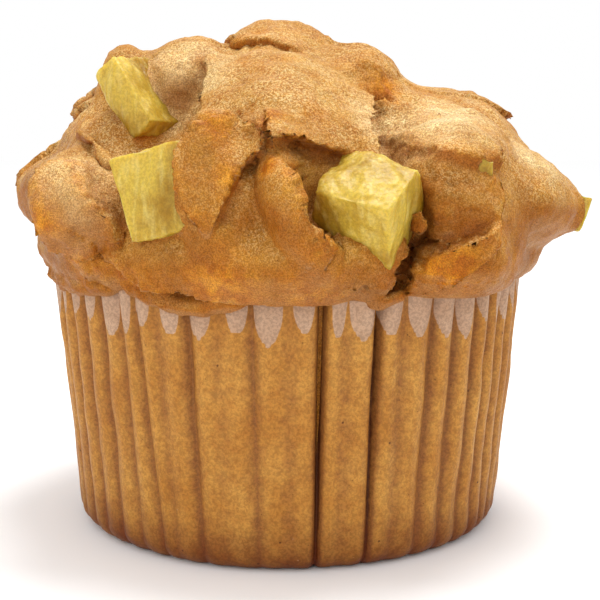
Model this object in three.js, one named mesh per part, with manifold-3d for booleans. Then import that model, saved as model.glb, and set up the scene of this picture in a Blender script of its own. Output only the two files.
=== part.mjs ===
// An apple muffin in its fluted paper baking case, standing on a surface.
//
// Millimetres, +Z up. The origin is the middle of the case's foot. Azimuths are in degrees:
// 0 faces -Y (the front) and 90 faces +X.
//
// Three kinds of piece: one baked crumb, whose foot fills the paper case and whose crown
// overhangs it; the paper case; and the diced apple that shows through the crust, each dice
// sitting in a pocket of the crumb.

import * as THREE from 'three';
import { mergeVertices } from 'three/addons/utils/BufferGeometryUtils.js';
import Module from 'manifold-3d';

const wasm = await Module();
wasm.setup();

// ---- Driving dimensions ----

const FOOT_RADIUS = 25.4; // the case at its foot, over the flutes: a 2 inch baking case
const RIM_RADIUS = 28.1; // the case at its rim, over the flutes
const CASE_HEIGHT = 30.4; // foot to paper edge
const FOOT_ROUNDING = 1.8; // how far up the wall the rounded foot reaches
const PAPER = 0.3; // wall of the case
const FLUTES = 48; // folds around the case
const FLUTE_DEPTH = 0.9; // ridge to valley, measured along the radius

const CROWN_RISE = 29; // paper edge to the top of the crown
const CROWN_ROWS = 26; // rings of facets from the neck to the top

const DICE_EDGE = 9; // edge that the apple is cut to
const DICE_FACETS = 4; // facets along each edge of a dice
const DICE_ROUNDING = 0.3; // 0 is a sharp cube, 1 is a ball

const CLEARANCE = 0.3; // gap kept wherever two pieces touch

// The crown is drawn over a rim of DRAWN_RIM and to a top of DRAWN_RISE, and is then stretched to
// the real rim and rise. Its places are measured from the middle of the case's rim.
const DRAWN_RIM = 28.1;
const DRAWN_RISE = 29;
const CROWN_CENTRE = new THREE.Vector3(0, 0, 5.6); // the middle of the crown's widest level

// The crown is the outer envelope of domes that rose and split as it baked, each blended into
// the ones before it. at: centre, radii: along the dome's own axes, turn: about X, Y and Z in
// degrees, blend: how wide the valley between it and the others is filled.
const DOMES = {
  core: { at: [0, 0.5, 5.6], radii: [28.6, 31, 12], turn: [0, 0, 0], blend: 3 },
  neck: { at: [0.3, 0, 2.6], radii: [30.4, 30.2, 7.6], turn: [0, 0, 0], blend: 1 },
  cap: { at: [-1.2, -10, 12.6], radii: [11.5, 18.5, 12.6], turn: [13, 0, 0], blend: 2.5 },
  peak: { at: [-0.8, -1, 21.1], radii: [7.6, 9, 7.9], turn: [0, 0, 0], blend: 2 },
  peak_right: { at: [8.2, -3, 20.5], radii: [5, 8, 5.2], turn: [0, 0, 0], blend: 2 },
  upper_left_knob: { at: [-18.6, -5.6, 21.8], radii: [3, 4, 4.2], turn: [0, 0, 0], blend: 1.5 },
  upper_left_ridge: { at: [-11.8, -5.5, 21.8], radii: [5.5, 7.8, 4.9], turn: [0, -20, 0], blend: 2 },
  left_slope: { at: [-18.8, -2, 12.8], radii: [9.5, 14, 7.8], turn: [0, -45, 0], blend: 3 },
  left_lobe: { at: [-20.4, -13.5, 8.5], radii: [8.8, 12.4, 5.9], turn: [0, 0, -18], blend: 1.5 },
  far_left_lobe: { at: [-20.6, 0, 8.5], radii: [12.2, 18, 5.4], turn: [0, 0, 0], blend: 2 },
  right_lobe: { at: [17, -12, 8.2], radii: [10, 17.8, 10.6], turn: [0, 0, 0], blend: 1.5 },
  right_back: { at: [17.6, 0, 12.2], radii: [11.6, 15, 8.6], turn: [0, 5, 0], blend: 2.5 },
  right_saddle: { at: [10, -2, 15.2], radii: [9, 14, 6.6], turn: [0, 25, 0], blend: 3 },
  far_right_lobe: { at: [22.4, -4.5, 9.4], radii: [12.2, 17.5, 6.4], turn: [0, 14, 0], blend: 1.5 },
  front_apron: { at: [-1.5, -14, 3.6], radii: [18, 18.6, 6.4], turn: [0, 0, 0], blend: 2 },
  under_cap: { at: [0.5, -12, 10.1], radii: [15, 16.5, 9], turn: [0, 0, 0], blend: 3 },
  shield_flap: { at: [-6.8, -27.8, 11.2], radii: [4.6, 3.6, 8], turn: [-21, 0, 0], blend: 1 },
  centre_fold: { at: [0.6, -27.9, 10.2], radii: [3.2, 5.2, 9.4], turn: [-21, -22, 0], blend: 1 },
  right_foot: { at: [17, -20, 3.6], radii: [7, 10, 5], turn: [0, 0, 0], blend: 2 },
  back_left_lobe: { at: [-14.5, 13, 9.6], radii: [13, 13.5, 9], turn: [0, -10, 25], blend: 1.5 },
  back_lobe: { at: [2, 15.5, 9.6], radii: [12, 16, 10.5], turn: [-10, 0, 0], blend: 1.5 },
  back_right_lobe: { at: [16, 12, 9.1], radii: [12.5, 15, 9.5], turn: [0, 8, -35], blend: 1.5 },
  back_saddle: { at: [0, 5, 16.6], radii: [15, 12, 8.5], turn: [0, 0, 0], blend: 3 },
};

// Where the crown has torn open or sunk between its domes.
const HOLLOWS = {
  crack: { at: [11.4, -33, 10.6], radii: [1.8, 8, 11], turn: [-12, -14, 0] },
  recess: { at: [5.2, -33.5, 11.1], radii: [3.6, 6, 6], turn: [0, -20, 0] },
  left_edge: { at: [-45.9, -20.2, 7.6], radii: [19.5, 30, 22], turn: [0, 0, 18] },
  left_valley: { at: [-17, -26, 17.1], radii: [6, 9, 4], turn: [0, -35, 0] },
  back_crack: { at: [9.5, 32, 12.6], radii: [1.8, 9, 10], turn: [15, 12, 0] },
};

// Diced apple. cut: the dice's own edges, as shares of DICE_EDGE.
const DICE = {
  apple_dice_upper_left: { at: [-16, -11.7, 19.9], cut: [0.38, 0.8, 1.03], turn: [-1, -37, -33] },
  apple_dice_left: { at: [-11.8, -25.2, 10.5], cut: [0.94, 0.89, 1.02], turn: [-4, -17, -18] },
  apple_dice_front: { at: [8.3, -27.7, 8.9], cut: [0.98, 0.89, 0.89], turn: [32, 12, -25] },
  apple_dice_right: { at: [29.9, -8.6, 7.9], cut: [0.83, 0.78, 0.48], turn: [0, 20, 20] },
  apple_dice_under_skin: { at: [18.1, -23.2, 12.4], cut: [0.7, 0.7, 0.7], turn: [18, 13, -4] },
  apple_dice_back_right: { at: [19.5, 19.5, 12.1], cut: [1.06, 0.94, 1], turn: [25, 10, 30] },
  apple_dice_back: { at: [-3, 26, 13.6], cut: [1, 1, 0.94], turn: [-20, 15, 10] },
  apple_dice_back_left: { at: [-22.5, 14.5, 12.6], cut: [1, 0.94, 1], turn: [10, -25, 35] },
};

// ---- Materials ----

const crust = new THREE.MeshStandardMaterial({ color: 0xc98a45, roughness: 0.75, metalness: 0 });
const paper = new THREE.MeshStandardMaterial({ color: 0xbd8748, roughness: 0.55, metalness: 0 });
const apple = new THREE.MeshStandardMaterial({ color: 0xd8c04c, roughness: 0.35, metalness: 0 });

// ---- Helpers ----

const WALL_SLOPE = (RIM_RADIUS - FOOT_RADIUS) / CASE_HEIGHT;
const SEGMENTS = 2 * FLUTES; // one facet column from each ridge to each valley

// Outer radius of the case's wall over its flutes, at a height.
function wallRadius(z) {
  return FOOT_RADIUS + WALL_SLOPE * z;
}

// How deep each fold is: some have been pressed flat by the rising batter.
function foldDepth(fold) {
  return FLUTE_DEPTH * (0.75 + 0.25 * Math.sin(2.4 * fold));
}

// A solid of revolution about Z whose wall has the case's folds. points: Vector2 of radius
// and height, from the axis at the bottom to the axis at the top. fluted: says which points
// of the profile the folds reach.
function flutedLathe(points, fluted) {
  const geometry = new THREE.LatheGeometry(points, SEGMENTS);
  const position = geometry.attributes.position;
  for (let i = 0; i < position.count; i++) {
    const column = Math.floor(i / points.length) % SEGMENTS;
    if (column % 2 === 0 || !fluted(i % points.length)) continue;
    const radius = Math.hypot(position.getX(i), position.getZ(i));
    const share = 1 - foldDepth((column - 1) / 2) / radius;
    position.setX(i, position.getX(i) * share);
    position.setZ(i, position.getZ(i) * share);
  }
  return geometry.rotateX(Math.PI / 2);
}

// A closed geometry as a manifold-3d solid, for cutting.
function solidOf(geometry) {
  const bare = geometry.clone().deleteAttribute('normal').deleteAttribute('uv');
  const merged = mergeVertices(bare, 1e-3);
  return new wasm.Manifold(
    new wasm.Mesh({
      numProp: 3,
      vertProperties: merged.attributes.position.array,
      triVerts: new Uint32Array(merged.index.array),
    }),
  );
}

function geometryOf(solid) {
  const mesh = solid.getMesh();
  return new THREE.BufferGeometry()
    .setAttribute('position', new THREE.BufferAttribute(mesh.vertProperties, 3))
    .setIndex(new THREE.BufferAttribute(mesh.triVerts, 1));
}

function rotationOf(turn) {
  const [x, y, z] = turn.map(THREE.MathUtils.degToRad);
  return new THREE.Matrix4().makeRotationFromEuler(new THREE.Euler(x, y, z, 'ZYX'));
}

// ---- Paper case ----

function paperCase() {
  const inner = (z) => wallRadius(z) - PAPER;
  const profile = [
    [0, 0],
    [FOOT_RADIUS - FOOT_ROUNDING, 0],
    [wallRadius(0.3 * FOOT_ROUNDING) - 0.3 * FOOT_ROUNDING, 0.3 * FOOT_ROUNDING],
    [wallRadius(FOOT_ROUNDING), FOOT_ROUNDING],
    [wallRadius(CASE_HEIGHT / 2), CASE_HEIGHT / 2],
    [wallRadius(CASE_HEIGHT), CASE_HEIGHT],
    [inner(CASE_HEIGHT), CASE_HEIGHT],
    [inner(CASE_HEIGHT / 2), CASE_HEIGHT / 2],
    [inner(FOOT_ROUNDING), FOOT_ROUNDING],
    [inner(0.3 * FOOT_ROUNDING) - 0.3 * FOOT_ROUNDING, 0.3 * FOOT_ROUNDING + PAPER],
    [FOOT_RADIUS - FOOT_ROUNDING - PAPER, PAPER],
    [0, PAPER],
  ].map(([radius, z]) => new THREE.Vector2(radius, z));
  const isWall = (i) => i >= 3 && i <= 8;
  return flutedLathe(profile, isWall);
}

// ---- Crumb ----

// An ellipsoid of the crown, ready for crossing with rays from the crown's centre.
function ellipsoid({ at, radii, turn, blend }) {
  const centre = new THREE.Vector3(...at).sub(CROWN_CENTRE);
  const toUnit = new THREE.Matrix4()
    .makeScale(...radii.map((r) => 1 / r))
    .multiply(rotationOf(turn).invert());
  return { from: centre.negate().applyMatrix4(toUnit), toUnit, blend };
}

// Where a ray from the crown's centre enters and leaves an ellipsoid, or null.
function crossing({ from, toUnit }, direction) {
  const along = direction.clone().applyMatrix4(toUnit);
  const a = along.dot(along);
  const b = from.dot(along);
  const inside = b * b - a * (from.dot(from) - 1);
  if (inside <= 0) return null;
  return { enters: (-b - Math.sqrt(inside)) / a, leaves: (-b + Math.sqrt(inside)) / a };
}

// The larger of two distances, rounded off where they are within a blend of each other.
function blendedMax(a, b, blend) {
  const overlap = Math.max(blend - Math.abs(a - b), 0) / blend;
  return Math.max(a, b) + (overlap * overlap * blend) / 4;
}

const domes = Object.values(DOMES).map(ellipsoid);
const hollows = Object.values(HOLLOWS).map(ellipsoid);

// Distance from the crown's centre to its skin, along a direction.
function crownReach(direction) {
  let reach = 0;
  for (const dome of domes) {
    const hit = crossing(dome, direction);
    if (hit && hit.leaves > 0) reach = blendedMax(reach, hit.leaves, dome.blend);
  }
  for (const hollow of hollows) {
    const hit = crossing(hollow, direction);
    if (hit && hit.enters > 0 && hit.enters < reach) reach = hit.enters;
  }
  return reach;
}

// A place on the drawn crown, moved to where it is over the real rim.
function overRim(point) {
  const spread = RIM_RADIUS / DRAWN_RIM;
  const lift = CROWN_RISE / DRAWN_RISE;
  return new THREE.Vector3(spread * point.x, spread * point.y, CASE_HEIGHT + lift * point.z);
}

function crumbBody() {
  const gap = PAPER + CLEARANCE;
  const foot = [
    [0, gap],
    [FOOT_RADIUS - FOOT_ROUNDING - gap, gap],
    [wallRadius(FOOT_ROUNDING) - 1.5 * gap, FOOT_ROUNDING + gap],
    [wallRadius(CASE_HEIGHT / 2) - gap, CASE_HEIGHT / 2],
    [wallRadius(CASE_HEIGHT) - gap, CASE_HEIGHT + CLEARANCE],
  ];
  const neck = Math.atan2(-CROWN_CENTRE.z, DRAWN_RIM);
  const profile = foot.map(([radius, z]) => new THREE.Vector2(radius, z));
  for (let row = 1; row < CROWN_ROWS; row++) {
    const elevation = neck + ((Math.PI / 2 - neck) * row) / CROWN_ROWS;
    profile.push(new THREE.Vector2(Math.cos(elevation), Math.sin(elevation)));
  }
  profile.push(new THREE.Vector2(0, 1));

  const isFluted = (i) => i >= 2 && i < foot.length;
  const geometry = flutedLathe(profile, isFluted);
  const position = geometry.attributes.position;
  const lowest = CASE_HEIGHT + CLEARANCE;
  const point = new THREE.Vector3();
  for (let i = 0; i < position.count; i++) {
    if (i % profile.length < foot.length) continue;
    point.fromBufferAttribute(position, i).normalize();
    const skin = overRim(point.multiplyScalar(crownReach(point)).add(CROWN_CENTRE));
    position.setXYZ(i, skin.x, skin.y, Math.max(skin.z, lowest));
  }
  return solidOf(geometry);
}

// ---- Apple dice ----

// A cube with rounded, slightly bulging faces, turned and placed. grow: added on every side.
function diceGeometry({ at, cut, turn }, grow = 0) {
  const geometry = new THREE.BoxGeometry(2, 2, 2, DICE_FACETS, DICE_FACETS, DICE_FACETS);
  const position = geometry.attributes.position;
  const half = cut.map((share) => (share * DICE_EDGE) / 2 + grow);
  const point = new THREE.Vector3();
  for (let i = 0; i < position.count; i++) {
    point.fromBufferAttribute(position, i);
    const ball = point.clone().normalize().multiplyScalar(1.2);
    point.lerp(ball, DICE_ROUNDING);
    position.setXYZ(i, point.x * half[0], point.y * half[1], point.z * half[2]);
  }
  const centre = overRim(new THREE.Vector3(...at));
  return geometry.applyMatrix4(rotationOf(turn)).translate(...centre);
}

// ---- Assembly ----

const muffin = new THREE.Group();

function add(name, geometry, material) {
  geometry.computeVertexNormals();
  const mesh = new THREE.Mesh(geometry, material);
  mesh.name = name;
  muffin.add(mesh);
}

// Each dice takes its place in a pocket of the crumb, cut back where it leans on an earlier one.
const dice = [];
let crumb = crumbBody();
for (const [name, shape] of Object.entries(DICE)) {
  const earlier = dice.map((each) => each.pocket);
  const solid = earlier.reduce((rest, pocket) => rest.subtract(pocket), solidOf(diceGeometry(shape)));
  const pocket = solidOf(diceGeometry(shape, CLEARANCE));
  crumb = crumb.subtract(pocket);
  dice.push({ name, solid, pocket });
}

add('crumb', geometryOf(crumb), crust);
add('paper_case', paperCase(), paper);
for (const { name, solid } of dice) add(name, geometryOf(solid), apple);

export default muffin;
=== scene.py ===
"""An apple muffin in its fluted paper case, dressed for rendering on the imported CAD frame.

The crown is grown again from the same domes as the CAD crown, as a distance field that is
meshed finely, so that its folds stay sharp; cracks, ledges, pores and grain are added to it.
The case and the diced apple are remade from the sizes and places of their CAD nodes.

Lengths in this script are millimetres until a mesh is made. +Z is up and -Y is the front.
Azimuths are degrees, 0 at the front and 90 at +X; elevations are seen from CROWN_CENTRE.
"""
import math

import bmesh
import bpy
import numpy as np
import openvdb
from mathutils import Euler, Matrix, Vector


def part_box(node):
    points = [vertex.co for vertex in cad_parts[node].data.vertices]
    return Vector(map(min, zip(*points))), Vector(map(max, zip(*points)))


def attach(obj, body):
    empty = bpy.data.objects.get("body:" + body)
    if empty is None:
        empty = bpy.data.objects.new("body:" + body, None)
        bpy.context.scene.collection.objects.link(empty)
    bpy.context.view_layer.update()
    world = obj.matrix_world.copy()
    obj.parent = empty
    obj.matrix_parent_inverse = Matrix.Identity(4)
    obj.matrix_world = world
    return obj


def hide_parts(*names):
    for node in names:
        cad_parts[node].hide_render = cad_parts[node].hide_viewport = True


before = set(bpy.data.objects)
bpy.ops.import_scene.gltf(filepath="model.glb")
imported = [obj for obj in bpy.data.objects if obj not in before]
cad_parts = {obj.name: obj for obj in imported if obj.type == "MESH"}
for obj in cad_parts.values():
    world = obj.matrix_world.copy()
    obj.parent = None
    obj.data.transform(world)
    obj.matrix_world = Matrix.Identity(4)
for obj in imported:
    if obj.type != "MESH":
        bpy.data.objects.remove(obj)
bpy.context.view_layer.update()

MM = 0.001
BODY = "root"


# ---- Sizes taken from the frame ----

def node_box(node):
    """Lowest and highest corners of a CAD node, in millimetres."""
    low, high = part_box(node)
    return np.array(low) / MM, np.array(high) / MM


CASE_LOW, CASE_HIGH = node_box("paper_case")
RIM_RADIUS = (CASE_HIGH[0] - CASE_LOW[0]) / 2
CASE_HEIGHT = CASE_HIGH[2]
WALL_LEAN = 2.7 / CASE_HEIGHT  # how much the case's radius grows for each mm of height
FOOT_RADIUS = RIM_RADIUS - WALL_LEAN * CASE_HEIGHT
FOOT_ROUNDING = 2.2  # radius of the bend between the case's foot and its wall
DICE = sorted(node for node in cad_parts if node.startswith("apple_dice"))


# ---- The crown's form, as in the CAD ----

CROWN_CENTRE = np.array([0, 0, 36])
CROWN_FLOOR = 29.3  # the crown's underside, just under the paper's edge
WELL_OUTSIDE = 45.0  # further from CROWN_CENTRE than any skin

# Each dome is blended into the ones before it over the width "blend".
DOMES = {
    "core": dict(at=(0, 0.5, 36), radii=(28.6, 31, 12), turn=(0, 0, 0), blend=3),
    "neck": dict(at=(0.3, 0, 33), radii=(30.4, 30.2, 7.6), turn=(0, 0, 0), blend=1),
    "cap": dict(at=(-1.2, -10, 43), radii=(11.5, 18.5, 12.6), turn=(13, 0, 0), blend=2.5),
    "peak": dict(at=(-0.8, -1, 51.5), radii=(7.6, 9, 7.9), turn=(0, 0, 0), blend=2),
    "peak_right": dict(at=(8.2, -3, 50.9), radii=(5, 8, 5.2), turn=(0, 0, 0), blend=2),
    "upper_left_knob": dict(at=(-18.6, -5.6, 52.2), radii=(3, 4, 4.2), turn=(0, 0, 0), blend=1.5),
    "upper_left_ridge": dict(at=(-11.8, -5.5, 52.2), radii=(5.5, 7.8, 4.9), turn=(0, -20, 0), blend=2),
    "left_slope": dict(at=(-18.8, -2, 43.2), radii=(9.5, 14, 7.8), turn=(0, -45, 0), blend=3),
    "left_lobe": dict(at=(-20.4, -13.5, 38.9), radii=(8.8, 12.4, 5.9), turn=(0, 0, -18), blend=1.5),
    "far_left_lobe": dict(at=(-20.6, 0, 38.9), radii=(12.2, 18, 5.4), turn=(0, 0, 0), blend=2),
    "right_lobe": dict(at=(17, -12, 38.6), radii=(10, 17.8, 10.6), turn=(0, 0, 0), blend=1.5),
    "right_back": dict(at=(17.6, 0, 42.6), radii=(11.6, 15, 8.6), turn=(0, 5, 0), blend=2.5),
    "right_saddle": dict(at=(10, -2, 45.6), radii=(9, 14, 6.6), turn=(0, 25, 0), blend=3),
    "far_right_lobe": dict(at=(22.4, -4.5, 39.8), radii=(12.2, 17.5, 6.4), turn=(0, 14, 0), blend=1.5),
    "front_apron": dict(at=(-1.5, -14, 34), radii=(18, 18.6, 6.4), turn=(0, 0, 0), blend=2),
    "under_cap": dict(at=(0.5, -12, 40.5), radii=(15, 16.5, 9), turn=(0, 0, 0), blend=3),
    "shield_flap": dict(at=(-6.8, -27.8, 41.6), radii=(4.6, 3.6, 8), turn=(-21, 0, 0), blend=1),
    "centre_fold": dict(at=(0.6, -27.9, 40.6), radii=(3.2, 5.2, 9.4), turn=(-21, -22, 0), blend=1),
    "right_foot": dict(at=(17, -20, 34), radii=(7, 10, 5), turn=(0, 0, 0), blend=2),
    "back_left_lobe": dict(at=(-14.5, 13, 40), radii=(13, 13.5, 9), turn=(0, -10, 25), blend=1.5),
    "back_lobe": dict(at=(2, 15.5, 40), radii=(12, 16, 10.5), turn=(-10, 0, 0), blend=1.5),
    "back_right_lobe": dict(at=(16, 12, 39.5), radii=(12.5, 15, 9.5), turn=(0, 8, -35), blend=1.5),
    "back_saddle": dict(at=(0, 5, 47), radii=(15, 12, 8.5), turn=(0, 0, 0), blend=3),
}
# Where the crown has torn open or sunk.
HOLLOWS = {
    "crack": dict(at=(11.4, -33, 41), radii=(1.8, 8, 11), turn=(-12, -14, 0)),
    "recess": dict(at=(5.2, -33.5, 41.5), radii=(3.6, 6, 6), turn=(0, -20, 0)),
    "left_edge": dict(at=(-45.9, -20.2, 38), radii=(19.5, 30, 22), turn=(0, 0, 18)),
    "left_valley": dict(at=(-17, -26, 47.5), radii=(6, 9, 4), turn=(0, -35, 0)),
    "back_crack": dict(at=(9.5, 32, 43), radii=(1.8, 9, 10), turn=(15, 12, 0)),
}
HOLLOW_BLEND = 1.0  # how wide the edge of each hollow is rounded

# The crust has split into overlapping layers. Each scarp runs along the skin through places
# given by azimuth and elevation, with its raised layer on the left as seen from outside.
# raised and sunk: heights of the two sides, soft: width of the step, reach: how far from the
# step the raised layer lies proud, trough: how far from it the lower layer lies sunk, ragged:
# how unevenly the line runs, where it differs from 1.
SCARPS = {
    "shield": dict(raised=1.5, sunk=0.5, soft=0.35, reach=4.0, trough=1.5, ragged=0.4,
                   places=[(-13, 1), (-11, 5), (-10, 8), (-9, 12), (-7, 15), (-4, 17), (-5, 21), (-10, 24),
                           (-15, 22), (-19, 18), (-20, 15), (-19, 11), (-17, 6), (-14, 1)]),
    "fold_edge": dict(raised=1.2, sunk=1.8, soft=0.35, reach=2.0, trough=3.5, ragged=0.3,
                      places=[(10, -1), (7, 1), (5, 3), (3, 6), (2, 9), (1, 12), (-1, 16)]),
    "cap_lip": dict(raised=1.2, sunk=1.3, soft=0.6, reach=3.0, trough=3.0, ragged=0.5,
                    places=[(-4, 17), (-1, 19), (3, 20), (7, 19), (12, 18), (16, 19)]),
    "lip_left": dict(raised=0.9, sunk=0.6, soft=0.3, reach=1.5, trough=1.0,
                     places=[(-5, 28), (-4, 26), (-4, 22), (-4, 19), (-2, 16)]),
    "main_crack": dict(raised=1.3, sunk=3.0, soft=0.3, reach=3.0, trough=2.2,
                       places=[(20, -12), (21, -8), (20, -4), (24, 0), (26, 4), (21, 6), (18, 8), (17, 11),
                               (19, 14), (22, 18), (23, 25), (24, 29), (29, 34), (33, 39), (37, 44)]),
    "second_crease": dict(raised=1.0, sunk=2.2, soft=0.3, reach=2.0, trough=2.2,
                          places=[(47, 32), (44, 37), (41, 41), (37, 43), (34, 42)]),
    "toast": dict(raised=1.3, sunk=1.6, soft=0.3, reach=2.5, trough=1.5,
                  places=[(38, 4), (34, 1), (30, 0), (27, -1), (26, -4), (25, -7), (27, -12)]),
    "face_top": dict(raised=0.9, sunk=0.8, soft=1.1, reach=3.0, trough=4.0, ragged=0.6,
                     places=[(28, 30), (30, 24), (29, 19), (32, 16), (36, 14), (42, 13), (46, 15)]),
    "face_right": dict(raised=0.6, sunk=0.3, soft=0.3, reach=2.0, trough=1.5, ragged=0.4,
                       places=[(28, -11), (32, -5), (37, 0), (39, 4), (41, 10), (42, 14), (46, 19)]),
    "left_lobe": dict(raised=1.3, sunk=0.4, soft=0.35, reach=4.5, trough=2.5, ragged=0.35,
                      places=[(-34, -4), (-34, 1), (-36, 5), (-39, 9), (-42, 12), (-46, 14), (-49, 13),
                              (-48, 8), (-47, 2), (-47, -4), (-45, -9)]),
    "ledge": dict(raised=0.9, sunk=1.0, soft=0.3, reach=2.0, trough=1.5,
                  places=[(-40, -4), (-35, -5), (-30, -8), (-22, -9), (-10, -11), (2, -12), (14, -13)]),
    "cap_left": dict(raised=0.8, sunk=0.4, soft=0.9, reach=2.5, trough=2.5,
                     places=[(-44, 60), (-36, 50), (-34, 42), (-29, 34), (-20, 25), (-15, 20)]),
    "peak_fold": dict(raised=0.6, sunk=0.4, soft=0.3, reach=1.5, trough=1.5,
                      places=[(-75, 70), (-45, 69), (-20, 67), (0, 65), (12, 62)]),
    "back_split": dict(raised=0.9, sunk=1.8, soft=0.3, reach=2.5, trough=1.6,
                       places=[(163, -11), (160, -3), (157, 6), (160, 14), (166, 22), (163, 32),
                               (170, 44)]),
    "back_left_fold": dict(raised=0.9, sunk=0.6, soft=0.4, reach=2.5, trough=2.0,
                           places=[(-140, -6), (-131, 4), (-135, 14), (-130, 24), (-118, 33), (-108, 45)]),
    "back_shield": dict(raised=1.0, sunk=0.5, soft=0.35, reach=3.0, trough=1.5,
                        places=[(-162, 0), (-168, 10), (-165, 20), (-175, 27), (174, 24), (172, 12)]),
    "right_fold": dict(raised=0.8, sunk=0.5, soft=0.4, reach=2.5, trough=2.0,
                       places=[(100, -8), (97, 3), (102, 14), (103, 19)]),
    "back_right_fold": dict(raised=0.5, sunk=0.5, soft=0.4, reach=2.5, trough=2.0,
                            places=[(118, 40), (124, 30), (119, 20), (127, 8), (122, -4)]),
    "left_fold": dict(raised=0.7, sunk=0.4, soft=0.4, reach=2.5, trough=2.0,
                      places=[(-96, 2), (-90, 12), (-95, 24), (-86, 34), (-78, 45)]),
}
SCARP_OVERHANG = 0.35  # how far a raised layer leans out over the lower one, per mm of height

# Where the skin has broken open and shows crumb: azimuth, elevation and width in mm.
CRUMBLY = [(-43, 0, 4), (-42, -4, 4), (-37, -2, 3.5), (-29, -6, 4), (-22, -3, 3), (-16, -1, 2.5),
           (23, -5, 4), (22, 1, 3), (27, 4, 4), (28, 10, 4.5), (22, 14, 2), (33, 8, 4), (-42, 39, 4),
           (-36, 33, 3.5), (14, -8, 3), (42, 50, 2.5), (160, 5, 4), (165, 20, 3), (-132, 10, 4),
           (96, 10, 4), (-170, 0, 4)]
# Where the skin is toasted darkest, given the same way.
TOASTED = [(-45, 4, 4), (-46, -3, 5), (-14, 21, 3), (-4, 23, 2.5), (-3, 14, 2), (30, -5, 4),
           (27, -4, 3), (-10, 12, 2), (44, 46, 3), (-30, -8, 4), (-10, -9, 5), (5, -10, 5),
           (158, -2, 5), (-150, 25, 4), (100, 20, 4), (-100, 20, 4), (130, 30, 4)]
# Where most of the sugar lies, given the same way.
SUGARED = [(38, 26, 9), (26, 28, 5), (50, 30, 6), (-41, 9, 6), (-45, 12, 4), (-46, 42, 6),
           (-40, 49, 5), (-44, 36, 4), (60, 14, 5), (-30, 45, 4), (-95, 35, 7), (170, 40, 8),
           (110, 45, 7), (-150, 40, 7)]
# Where the crust has dried dull and grey-brown, given the same way.
DULL = [(-66, 5, 10), (-60, -4, 7), (58, -6, 7), (135, -4, 8), (-125, -4, 8)]
# Dough that has run over the paper's edge: azimuth, height and thickness in mm.
RUNOVER = [[(-34, 30.6, 0.8), (-29, 29.9, 1.1), (-23, 29.5, 1.2), (-17, 29.4, 1.2), (-12, 29.7, 1.1),
            (-8, 30.3, 0.8)],
           [(16, 30.6, 0.8), (20, 29.9, 1.1), (24, 30.4, 0.9)],
           [(-75, 30.8, 0.9), (-62, 30.2, 1.1), (-50, 30.0, 1.1), (-42, 30.5, 0.9)],
           [(150, 30.6, 0.8), (160, 29.8, 1.2), (172, 29.9, 1.1), (178, 30.5, 0.8)]]
RUNOVER_OUT = 0.15  # how far outside the case's wall its middle lies
# A strand of dough drawn out between two pieces of crust: x, y, z and thickness.
STRAND = np.array([(-22.9, -12.4, 46.6, 0.5), (-20.8, -16.9, 45.6, 0.38),
                   (-18.6, -20.9, 43.4, 0.5)], np.float32)


# ---- Noise ----

def hashed(cells, seed):
    """A repeatable number from 0 to 1 for each whole-numbered cell."""
    x, y, z = (cells[..., i].astype(np.int64).astype(np.uint32) for i in range(3))
    h = x * np.uint32(374761393) + y * np.uint32(668265263) + z * np.uint32(2147483647)
    h = (h + np.uint32(seed * 144665 + 1013)) * np.uint32(1274126177)
    h = (h ^ (h >> np.uint32(13))) * np.uint32(1103515245)
    h ^= h >> np.uint32(16)
    return h.astype(np.float32) / np.float32(4294967295.0)


def noise(points, size, seed):
    """Smooth noise from -1 to 1 whose lumps are about "size" across."""
    q = points / size
    cell = np.floor(q)
    t = (q - cell).astype(np.float32)
    t = t * t * t * (t * (t * 6 - 15) + 10)
    total = np.zeros(len(points), np.float32)
    for corner in np.ndindex(2, 2, 2):
        share = np.prod([t[:, i] if corner[i] else 1 - t[:, i] for i in range(3)], axis=0)
        total += share * hashed(cell + np.array(corner), seed)
    return total * 2 - 1


def lumpy(points, size, seed, octaves=3):
    """Noise of several sizes, each half the last."""
    return sum(noise(points, size / 2 ** i, seed + i) / 2 ** i for i in range(octaves))


def pits(points, size, seed):
    """1 at the middle of scattered round pits, falling to 0 at their edges."""
    q = points / size
    cell = np.floor(q)
    nearest = np.full(len(points), 9.0, np.float32)
    for step in np.ndindex(3, 3, 3):
        near_cell = cell + np.array(step) - 1
        centre = near_cell + np.stack([hashed(near_cell, seed + i) for i in range(3)], axis=1)
        nearest = np.minimum(nearest, np.linalg.norm(q - centre, axis=1))
    return np.clip(1 - nearest / 0.42, 0, 1)


# ---- Distance fields ----

def turned(turn):
    """The rotation for turns about X, Y and Z in degrees."""
    return np.array(Euler([math.radians(a) for a in turn], "XYZ").to_matrix(), np.float32)


def ellipsoid_distance(points, at, radii, turn, blend=0):
    """About the distance to an ellipsoid's skin, negative inside; blend is for the caller."""
    local = (points - np.array(at, np.float32)) @ turned(turn)
    radii = np.array(radii, np.float32)
    scaled = np.linalg.norm(local / radii, axis=-1)
    slope = np.linalg.norm(local / radii ** 2, axis=-1) + 1e-6
    return scaled * (scaled - 1) / slope


def blended_min(a, b, blend):
    """The union of two distances, with the valley between them filled over a width."""
    overlap = np.clip(blend - np.abs(a - b), 0, None) / blend
    return np.minimum(a, b) - overlap * overlap * blend / 4


def blended_max(a, b, blend):
    """The overlap of two distances, with the edge between them rounded."""
    return -blended_min(-a, -b, blend)


def chain_distance(points, chain):
    """Distance to a string of thick segments; chain rows are x, y, z, radius."""
    nearest = np.full(len(points), 1e3, np.float32)
    for start, end in zip(chain[:-1], chain[1:]):
        along = end[:3] - start[:3]
        t = np.clip((points - start[:3]) @ along / (along @ along), 0, 1)
        middle = start[:3] + t[:, None] * along
        radius = start[3] + t * (end[3] - start[3])
        nearest = np.minimum(nearest, np.linalg.norm(points - middle, axis=1) - radius)
    return nearest


def wall_radius(z):
    """The case's radius over its flutes, at a height."""
    return FOOT_RADIUS + WALL_LEAN * z


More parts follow.
